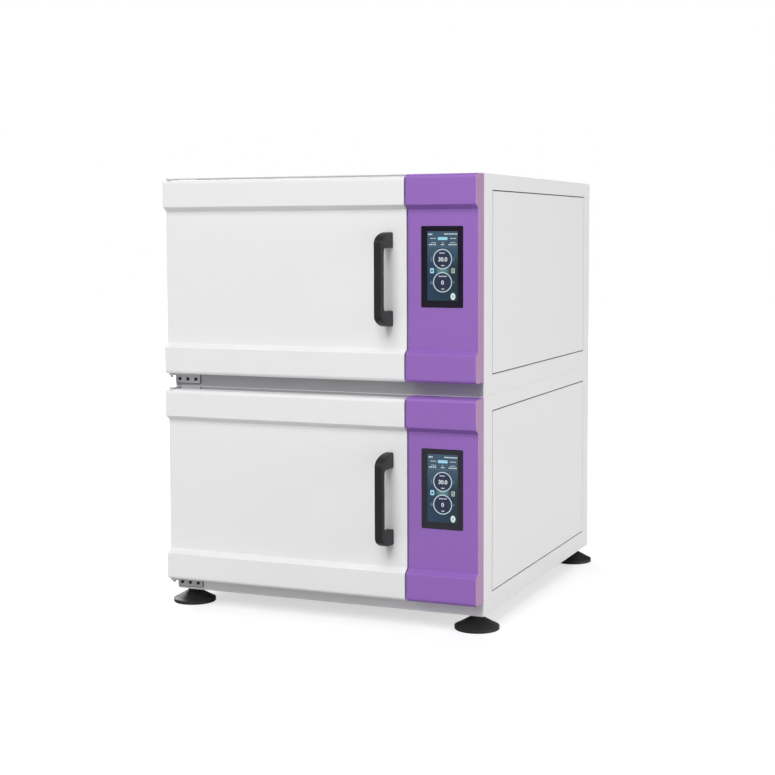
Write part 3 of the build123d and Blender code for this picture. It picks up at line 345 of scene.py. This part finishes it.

# %% [markdown]
# ## Purple moulding
# The control column is moulded ABS in a clear purple. The end wall on the cabinet's
# side is painted a paler mauve as painted light, for the light that falls on that side. It is chosen by place, so
# the colour changes exactly on the edge.

# %% Fascia plastic
def fascia_plastic():
    """Satin ABS: purple in front, and a paler mauve painted light on the right end wall."""
    finish, tree, shader = new_finish("satin purple ABS", Roughness=0.45, IOR=1.5)
    place = add_node(tree, "ShaderNodeTexCoord")
    axes = add_node(tree, "ShaderNodeSeparateXYZ", None, {"Vector": place.outputs["Object"]})
    end_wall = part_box("lower_fascia")[1][0] - 0.4 * MM
    on_painted_light_end = add_node(tree, "ShaderNodeMath", {"operation": "GREATER_THAN"},
                      {0: axes.outputs["X"], 1: end_wall})
    colour = add_node(tree, "ShaderNodeMix", {"data_type": "RGBA"}, {"Factor": on_painted_light_end.outputs[0]})
    colour.inputs[6].default_value = linear("#9668bd")
    # The end wall's paler mauve is painted light, for the light that falls on the cabinet's side.
    colour.inputs[7].default_value = linear("#b892b8")
    tree.links.new(colour.outputs[2], shader.inputs["Base Color"])
    grain = add_node(tree, "ShaderNodeTexNoise", None,
                     {"Vector": place.outputs["Object"], "Scale": 1 / (3 * MM), "Detail": 2.0})
    bump = add_node(tree, "ShaderNodeBump", None,
                    {"Height": grain.outputs["Fac"], "Strength": 0.03, "Distance": 0.2 * MM})
    tree.links.new(bump.outputs["Normal"], shader.inputs["Normal"])
    return finish


set_finish(fascia_plastic(), *both("fascia"))

# %% [markdown]
# ## The other plastics, rubber and metals
# Small functions make the finishes that several pieces share: matt black plastic for
# handles and feet, soft silicone, brushed stainless sheet, turned steel and cast metal.

# %% Plastic and rubber
def moulded_plastic(name, hex_colour, roughness, grain_mm=2.0, depth=0.06):
    """Moulded plastic with a fine spark-eroded grain."""
    finish, tree, shader = new_finish(name, Roughness=roughness, IOR=1.49)
    shader.inputs["Base Color"].default_value = linear(hex_colour)
    place = add_node(tree, "ShaderNodeTexCoord")
    grain = add_node(tree, "ShaderNodeTexNoise", None,
                     {"Vector": place.outputs["Object"], "Scale": 1 / (grain_mm * MM), "Detail": 3.0})
    bump = add_node(tree, "ShaderNodeBump", None,
                    {"Height": grain.outputs["Fac"], "Strength": depth, "Distance": 0.2 * MM})
    tree.links.new(bump.outputs["Normal"], shader.inputs["Normal"])
    return finish


handle_black = moulded_plastic("black nylon", "#0f0f0f", 0.55)
foot_black = moulded_plastic("black glass-filled nylon", "#202020", 0.5)
inlet_black = moulded_plastic("black polyamide", "#1d1d1e", 0.45)
seal_grey = moulded_plastic("grey silicone", "#b9b9bb", 0.7)
belt_black = moulded_plastic("black rubber", "#1b1b1b", 0.8)
lining_white = moulded_plastic("white vacuum-formed ABS", "#ececee", 0.35, 4.0, 0.04)
foam_cream = moulded_plastic("cream rigid foam", "#e6dcc0", 0.95, 1.5, 0.5)
set_finish(handle_black, *both("handle"))
set_finish(foot_black, "foot_front_left", "foot_front_right", "foot_rear_left", "foot_rear_right")
set_finish(inlet_black, "power_inlets", *both("rocker"))
set_finish(seal_grey, *both("door_gasket"))
set_finish(belt_black, "drive_belts")
set_finish(lining_white, *both("door_inner"))
set_finish(foam_cream, *both("insulation"))


# %% Metals
def brushed_sheet(name, hex_colour, roughness, along):
    """Brushed stainless sheet: fine streaks that run along one axis."""
    finish, tree, shader = new_finish(name, Metallic=1.0, Roughness=roughness)
    shader.inputs["Base Color"].default_value = linear(hex_colour)
    place = add_node(tree, "ShaderNodeTexCoord")
    streak_scale = [1 / (1.2 * MM)] * 3
    streak_scale[along] = 1 / (60 * MM)
    stretch = add_node(tree, "ShaderNodeMapping", None,
                       {"Vector": place.outputs["Object"], "Scale": streak_scale})
    streaks = add_node(tree, "ShaderNodeTexNoise", None,
                       {"Vector": stretch.outputs["Vector"], "Scale": 1.0, "Detail": 3.0})
    gloss = add_node(tree, "ShaderNodeMapRange", None,
                     {"Value": streaks.outputs["Fac"], "To Min": roughness - 0.08, "To Max": roughness + 0.1})
    tree.links.new(gloss.outputs["Result"], shader.inputs["Roughness"])
    bump = add_node(tree, "ShaderNodeBump", None,
                    {"Height": streaks.outputs["Fac"], "Strength": 0.05, "Distance": 0.1 * MM})
    tree.links.new(bump.outputs["Normal"], shader.inputs["Normal"])
    return finish


def bare_metal(name, hex_colour, roughness, grain_mm, depth):
    """Turned or cast metal with an even grain."""
    finish, tree, shader = new_finish(name, Metallic=1.0, Roughness=roughness)
    shader.inputs["Base Color"].default_value = linear(hex_colour)
    place = add_node(tree, "ShaderNodeTexCoord")
    grain = add_node(tree, "ShaderNodeTexNoise", None,
                     {"Vector": place.outputs["Object"], "Scale": 1 / (grain_mm * MM), "Detail": 4.0})
    bump = add_node(tree, "ShaderNodeBump", None,
                    {"Height": grain.outputs["Fac"], "Strength": depth, "Distance": 0.3 * MM})
    tree.links.new(bump.outputs["Normal"], shader.inputs["Normal"])
    return finish


stainless = brushed_sheet("brushed stainless steel", "#c9cacc", 0.3, 0)
turned_steel = bare_metal("turned steel", "#bfc1c4", 0.28, 1.0, 0.05)
zinc_steel = bare_metal("zinc-plated steel", "#b8bcc0", 0.35, 2.0, 0.05)
cast_metal = bare_metal("sand-cast aluminium", "#c3c5c7", 0.5, 2.5, 0.35)
motor_coat = bare_metal("black-coated motor shell", "#3a3b3d", 0.45, 2.0, 0.15)
heater_sheath = bare_metal("heat-darkened heater sheath", "#8d8378", 0.35, 2.0, 0.1)
black_oxide = bare_metal("black-oxide steel", "#3b3a3d", 0.4, 1.0, 0.1)
set_finish(stainless, "chamber_liners", "floor_covers", "air_baffles", *both("platform_tray"))
set_finish(turned_steel, *both("crank", "idler_left", "idler_right", "motor_pulley"))
set_finish(zinc_steel, "foot_nuts", "stacking_studs", *both("handle_screws"))
set_finish(cast_metal, "drive_bases", *both("platform_carrier", "fan_wheel"))
set_finish(motor_coat, "drive_motors", "fan_motors")
set_finish(heater_sheath, "ring_heaters")
set_finish(black_oxide, "hinge_screws")

# %% [markdown]
# ## Circuit board and display glass
# The control electronics sit behind the access panel: green laminate with dark chips.
# The display is black glass with a hard clear gloss.

# %% Board and glass
def circuit_board():
    """Green solder resist with dark chips: what stands off the laminate is dark."""
    finish, tree, shader = new_finish("green circuit board", Roughness=0.35, IOR=1.5)
    place = add_node(tree, "ShaderNodeTexCoord")
    axes = add_node(tree, "ShaderNodeSeparateXYZ", None, {"Vector": place.outputs["Object"]})
    laminate_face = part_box("control_electronics")[0][0] + 9.7 * MM
    above = add_node(tree, "ShaderNodeMath", {"operation": "GREATER_THAN"},
                     {0: axes.outputs["X"], 1: laminate_face})
    speckle = add_node(tree, "ShaderNodeTexNoise", None,
                       {"Vector": place.outputs["Object"], "Scale": 1 / (6 * MM), "Detail": 4.0})
    green = add_node(tree, "ShaderNodeMix", {"data_type": "RGBA"}, {"Factor": speckle.outputs["Fac"]})
    green.inputs[6].default_value = linear("#1d5a34")
    green.inputs[7].default_value = linear("#2b7a49")
    colour = add_node(tree, "ShaderNodeMix", {"data_type": "RGBA"},
                      {"Factor": above.outputs[0], 6: green.outputs[2]})
    colour.inputs[7].default_value = linear("#3a3c3f")
    tree.links.new(colour.outputs[2], shader.inputs["Base Color"])
    return finish


set_finish(circuit_board(), "control_electronics")
display_glass, tree, shader = new_finish("black display glass", Roughness=0.12, IOR=1.52)
shader.inputs["Base Color"].default_value = linear("#1c1826")
place = add_node(tree, "ShaderNodeTexCoord")
smear = add_node(tree, "ShaderNodeTexNoise", None,
                 {"Vector": place.outputs["Object"], "Scale": 1 / (25 * MM), "Detail": 2.0})
wiped = add_node(tree, "ShaderNodeMapRange", None,
                 {"Value": smear.outputs["Fac"], "To Min": 0.1, "To Max": 0.2})
tree.links.new(wiped.outputs["Result"], shader.inputs["Roughness"])
set_finish(display_glass, *both("display"))

# %% [markdown]
# ## The touch displays
# Each display shows a dark picture that turns from navy to green-grey, with two white
# rings, a row of small labels, a blue bar and four icons. They are drawn as very thin
# plates in front of the glass, which keeps every edge sharp at any zoom. The labels are
# plain bars, because real words would be a maker's text. Only the two read-outs, 30.0
# and 0, are numbers.

# %% Places on the display
glass_low, glass_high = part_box("upper_display")
upper_base = 0.515
screen_x = 0.2975
screen_face = glass_low.y
plate_thickness = 0.25 * MM
print("display glass", [round(v, 4) for v in glass_low], [round(v, 4) for v in glass_high])


def on_screen(x_mm, z_mm, layer):
    """A place on the upper display: across from its middle, height in the unit, layer."""
    return Vector((screen_x + x_mm * MM, screen_face - layer * plate_thickness, upper_base + z_mm * MM))


# %% [markdown]
# A plate starts as a cube at its size and place. Its upright edges are then bevelled
# in edit mode, which gives the rounded bars and pills of a real screen layout.

# %% Plates and rings
def select_only(item):
    """Makes one object the only selected and active one."""
    bpy.ops.object.select_all(action="DESELECT")
    item.select_set(True)
    bpy.context.view_layer.objects.active = item


def screen_plate(x_mm, z_mm, width_mm, height_mm, layer, corner_mm=0.3, segments=2):
    """A thin plate with rounded corners on the display."""
    bpy.ops.object.select_all(action="DESELECT")
    bpy.ops.mesh.primitive_cube_add(size=1, location=on_screen(x_mm, z_mm, layer))
    plate = bpy.context.object
    plate.dimensions = (width_mm * MM, plate_thickness, height_mm * MM)
    bpy.ops.object.transform_apply(location=False, rotation=False, scale=True)
    bpy.ops.object.mode_set(mode="EDIT")
    bpy.ops.mesh.select_mode(type="EDGE")
    bpy.ops.mesh.select_all(action="DESELECT")
    bpy.ops.object.mode_set(mode="OBJECT")
    for edge in plate.data.edges:
        first, second = (plate.data.vertices[i].co for i in edge.vertices)
        edge.select = abs(first.y - second.y) > plate_thickness / 2
    bpy.ops.object.mode_set(mode="EDIT")
    bpy.ops.mesh.bevel(offset=corner_mm * MM, segments=segments, affect="EDGES")
    bpy.ops.object.mode_set(mode="OBJECT")
    return plate


def screen_disc(x_mm, z_mm, radius_mm, layer, stretch=1.0):
    """A thin round plate, made taller by stretch."""
    bpy.ops.object.select_all(action="DESELECT")
    bpy.ops.mesh.primitive_cylinder_add(
        vertices=64, radius=radius_mm * MM, depth=plate_thickness,
        location=on_screen(x_mm, z_mm, layer), rotation=(math.pi / 2, 0, 0))
    disc = bpy.context.object
    bpy.ops.object.transform_apply(location=False, rotation=True, scale=False)
    disc.scale = (1, 1, stretch)
    bpy.ops.object.transform_apply(location=False, rotation=False, scale=True)
    return disc


def screen_ring(x_mm, z_mm, radius_mm, width_mm, layer):
    """A flat ring: a disc whose two round faces are inset and bridged through."""
    ring = screen_disc(x_mm, z_mm, radius_mm, layer)
    bpy.ops.object.mode_set(mode="EDIT")
    bpy.ops.mesh.select_mode(type="FACE")
    bpy.ops.mesh.select_all(action="DESELECT")
    bpy.ops.object.mode_set(mode="OBJECT")
    for face in ring.data.polygons:
        face.select = abs(face.normal.y) > 0.9
    bpy.ops.object.mode_set(mode="EDIT")
    bpy.ops.mesh.inset(thickness=width_mm * MM)
    bpy.ops.mesh.bridge_edge_loops()
    bpy.ops.object.mode_set(mode="OBJECT")
    return ring


def screen_number(text, x_mm, z_mm, height_mm, layer):
    """A plain number in the built-in typeface, turned to a thin solid plate."""
    bpy.ops.object.select_all(action="DESELECT")
    bpy.ops.object.text_add(location=(0, 0, 0), rotation=(math.pi / 2, 0, 0))
    letters = bpy.context.object
    letters.data.body = text
    letters.data.align_x = "CENTER"
    letters.data.align_y = "CENTER"
    letters.data.size = height_mm * MM / 0.69
    letters.data.offset = 0.25 * MM
    letters.data.extrude = plate_thickness / 2
    bpy.ops.object.convert(target="MESH")
    letters = bpy.context.object
    letters.location = on_screen(x_mm, z_mm, layer)
    bpy.ops.object.transform_apply(location=True, rotation=True, scale=True)
    return letters


def label_bars(x_mm, z_mm, width_mm, height_mm, layer, count):
    """A row of short bars, each a little different in width, that stands for a word."""
    pitch = width_mm / count
    bars = []
    for n in range(count):
        share = (0.62, 0.78, 0.55, 0.7)[n % 4]
        middle = x_mm - width_mm / 2 + (n + 0.5) * pitch
        bars.append(screen_plate(middle, z_mm, pitch * share, height_mm, layer, 0.2))
    return bars


def join_plates(name, plates, finish):
    """Joins thin plates to one piece at the origin, with its finish, on the cabinets."""
    bpy.ops.object.select_all(action="DESELECT")
    for plate in plates:
        plate.select_set(True)
    bpy.context.view_layer.objects.active = plates[0]
    bpy.ops.object.join()
    piece = bpy.context.object
    bpy.ops.object.transform_apply(location=True, rotation=True, scale=True)
    piece.name = name
    piece.data.name = name
    piece.data.materials.clear()
    piece.data.materials.append(finish)
    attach(piece, "cabinets")
    return piece


# %% [markdown]
# ### Lit finishes
# A liquid crystal picture is lit from behind, so its finishes give off a little of their
# own light. The picture's ground changes colour from corner to corner, with a soft
# cloud of brighter teal behind the upper ring, as in the photograph.

# %% Lit finishes
def lit_finish(name, hex_colour, strength=1.0):
    """A flat colour of light from behind a dark smooth surface."""
    finish, tree, shader = new_finish(name, Roughness=0.3, IOR=1.3)
    shader.inputs["Base Color"].default_value = linear("#000000")
    shader.inputs["Emission Color"].default_value = linear(hex_colour)
    place = add_node(tree, "ShaderNodeTexCoord")
    cells = add_node(tree, "ShaderNodeTexNoise", None,
                     {"Vector": place.outputs["Object"], "Scale": 1 / (0.8 * MM), "Detail": 1.0})
    flicker = add_node(tree, "ShaderNodeMapRange", None,
                       {"Value": cells.outputs["Fac"], "To Min": strength * 0.9, "To Max": strength * 1.1})
    tree.links.new(flicker.outputs["Result"], shader.inputs["Emission Strength"])
    return finish


def picture_ground():
    """Navy on the left, green-grey on the right, paler at the top, teal between the rings."""
    finish, tree, shader = new_finish("lit display ground", Roughness=0.25, IOR=1.3)
    shader.inputs["Base Color"].default_value = linear("#000000")
    place = add_node(tree, "ShaderNodeTexCoord")
    axes = add_node(tree, "ShaderNodeSeparateXYZ", None, {"Vector": place.outputs["Object"]})
    across = add_node(tree, "ShaderNodeMapRange", None,
                      {"Value": axes.outputs["X"], "From Min": screen_x - 0.034, "From Max": screen_x + 0.036})
    ground = add_node(tree, "ShaderNodeMix", {"data_type": "RGBA"}, {"Factor": across.outputs["Result"]})
    ground.inputs[6].default_value = linear("#30435c")
    ground.inputs[7].default_value = linear("#283a42")
    height = add_node(tree, "ShaderNodeMath", {"operation": "FLOORED_MODULO"},
                      {0: axes.outputs["Z"], 1: unit_rise})
    rise = add_node(tree, "ShaderNodeMapRange", {"interpolation_type": "SMOOTHSTEP"},
                    {"Value": height.outputs[0], "From Min": 0.305, "From Max": 0.36})
    pale = add_node(tree, "ShaderNodeMix", {"data_type": "RGBA"},
                    {"Factor": rise.outputs["Result"], 6: ground.outputs[2]})
    pale.inputs[7].default_value = linear("#42596c")
    spot_place = add_node(tree, "ShaderNodeCombineXYZ", None,
                          {"X": axes.outputs["X"], "Z": height.outputs[0]})
    spot_middle = (screen_x + 0.0015, 0, (upper_base + 0.272) % unit_rise)
    from_spot = add_node(tree, "ShaderNodeVectorMath", {"operation": "DISTANCE"},
                         {0: spot_place.outputs["Vector"], 1: spot_middle})
    glow = add_node(tree, "ShaderNodeMapRange", {"interpolation_type": "SMOOTHSTEP"},
                    {"Value": from_spot.outputs["Value"], "From Min": 0.003, "From Max": 0.02,
                     "To Min": 1.0, "To Max": 0.0})
    teal = add_node(tree, "ShaderNodeMix", {"data_type": "RGBA"},
                    {"Factor": glow.outputs["Result"], 6: pale.outputs[2]})
    teal.inputs[7].default_value = linear("#608a8e")
    tree.links.new(teal.outputs[2], shader.inputs["Emission Color"])
    shader.inputs["Emission Strength"].default_value = 1.0
    return finish


ground_finish = picture_ground()
white_glow = lit_finish("white display light", "#d9e5ea")
ring_glow = lit_finish("ring display light", "#c3d3dc")
blue_glow = lit_finish("blue display light", "#9fd6ea")
sand_glow = lit_finish("sand display light", "#aab1a4")
faint_glow = lit_finish("faint display light", "#5f7488")
disc_dark = lit_finish("dark display disc", "#30364c")

# %% [markdown]
# ### Lay out one display
# All sizes are in millimetres from the display's middle and from the unit's base. The
# upper display is built first. The lower one is a copy of each piece, moved down by one
# unit.

# %% Build the upper display
ground_piece = join_plates("upper_screen_ground", [screen_plate(1.2, 281.9, 69.3, 148.2, 0.5, 1.0)], ground_finish)
discs = [screen_disc(1.5, z, 20.2, 1.5) for z in (296.7, 247.2)]
disc_piece = join_plates("upper_screen_discs", discs, disc_dark)

rings = [screen_ring(1.5, z, 21.6, 2.0, 2.5) for z in (296.7, 247.2)]
ring_piece = join_plates("upper_screen_rings", rings, ring_glow)
white = [screen_number("30.0", 1.9, 295.7, 8.4, 2.5), screen_number("0", 1.5, 246.2, 8.4, 2.5)]
white += label_bars(0.4, 309.6, 12.7, 2.2, 2.5, 4)
white += label_bars(2.2, 282.8, 8.6, 2.2, 2.5, 3)
white += label_bars(2.0, 259.9, 18.5, 2.2, 2.5, 5)
white += label_bars(1.9, 232.9, 7.0, 2.0, 2.5, 2)
white += label_bars(-26.4, 349.6, 10.5, 3.0, 1.5, 3)
white += label_bars(20.0, 350.2, 30.8, 2.4, 1.5, 9)
white += label_bars(-20.2, 340.8, 13.3, 1.6, 1.5, 5)
white += label_bars(25.2, 340.7, 14.0, 1.6, 1.5, 5)
white += label_bars(-19.2, 332.0, 11.4, 1.2, 1.5, 5)
white += label_bars(-21.8, 327.7, 17.7, 2.4, 1.5, 4)
white += label_bars(1.7, 332.1, 3.8, 1.2, 1.5, 1)
white += label_bars(1.7, 327.8, 9.0, 2.2, 1.5, 3)
white += label_bars(24.8, 332.0, 12.3, 1.2, 1.5, 5)
white += label_bars(24.3, 327.6, 19.6, 2.4, 1.5, 5)
white.append(screen_disc(25.2, 217.0, 5.4, 1.5, 1.4))
white_piece = join_plates("upper_screen_white", white, white_glow)

blue = [screen_plate(1.7, 340.5, 22.0, 6.3, 1.5, 1.2, 4), screen_plate(-22.6, 271.8, 8.8, 11.0, 1.5, 1.4, 4)]
blue_piece = join_plates("upper_screen_blue", blue, blue_glow)
sand_piece = join_plates("upper_screen_sand", [screen_plate(25.4, 272.0, 8.2, 11.0, 1.5, 1.4, 4)], sand_glow)

faint = [screen_plate(1.2, 322.8, 62.0, 0.7, 1.5, 0.2), screen_plate(-24.4, 296.5, 2.4, 9.0, 1.5, 0.8)]
faint += [screen_plate(27.0, 297.1, 1.6, 9.0, 1.5, 0.6), screen_plate(26.8, 247.9, 2.4, 5.0, 1.5, 0.6)]
faint += [screen_plate(x, 246.1, 1.5, 7.0, 1.5, 0.5) for x in (-25.8, -23.6, -21.4)]
faint_piece = join_plates("upper_screen_faint", faint, faint_glow)

marks = [screen_plate(25.2, 217.0, 1.8, 5.0, 2.5, 0.6), screen_plate(-22.6, 271.8, 3.4, 4.4, 2.5, 0.8)]
marks += [screen_plate(25.4, z, 4.6, 1.0, 2.5, 0.3) for z in (269.6, 272.0, 274.4)]
mark_piece = join_plates("upper_screen_marks", marks, disc_dark)

# %% Copy the display to the lower unit
upper_pieces = (ground_piece, disc_piece, ring_piece, white_piece, blue_piece, sand_piece, faint_piece, mark_piece)
for upper_piece in upper_pieces:
    select_only(upper_piece)
    bpy.ops.object.duplicate(linked=False)
    lower_piece = bpy.context.object
    lower_piece.parent = None
    lower_piece.location = (0, 0, -unit_rise)
    bpy.ops.object.transform_apply(location=True, rotation=False, scale=False)
    lower_piece.name = upper_piece.name.replace("upper", "lower")
    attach(lower_piece, "cabinets")
print("display pieces", 2 * len(upper_pieces))
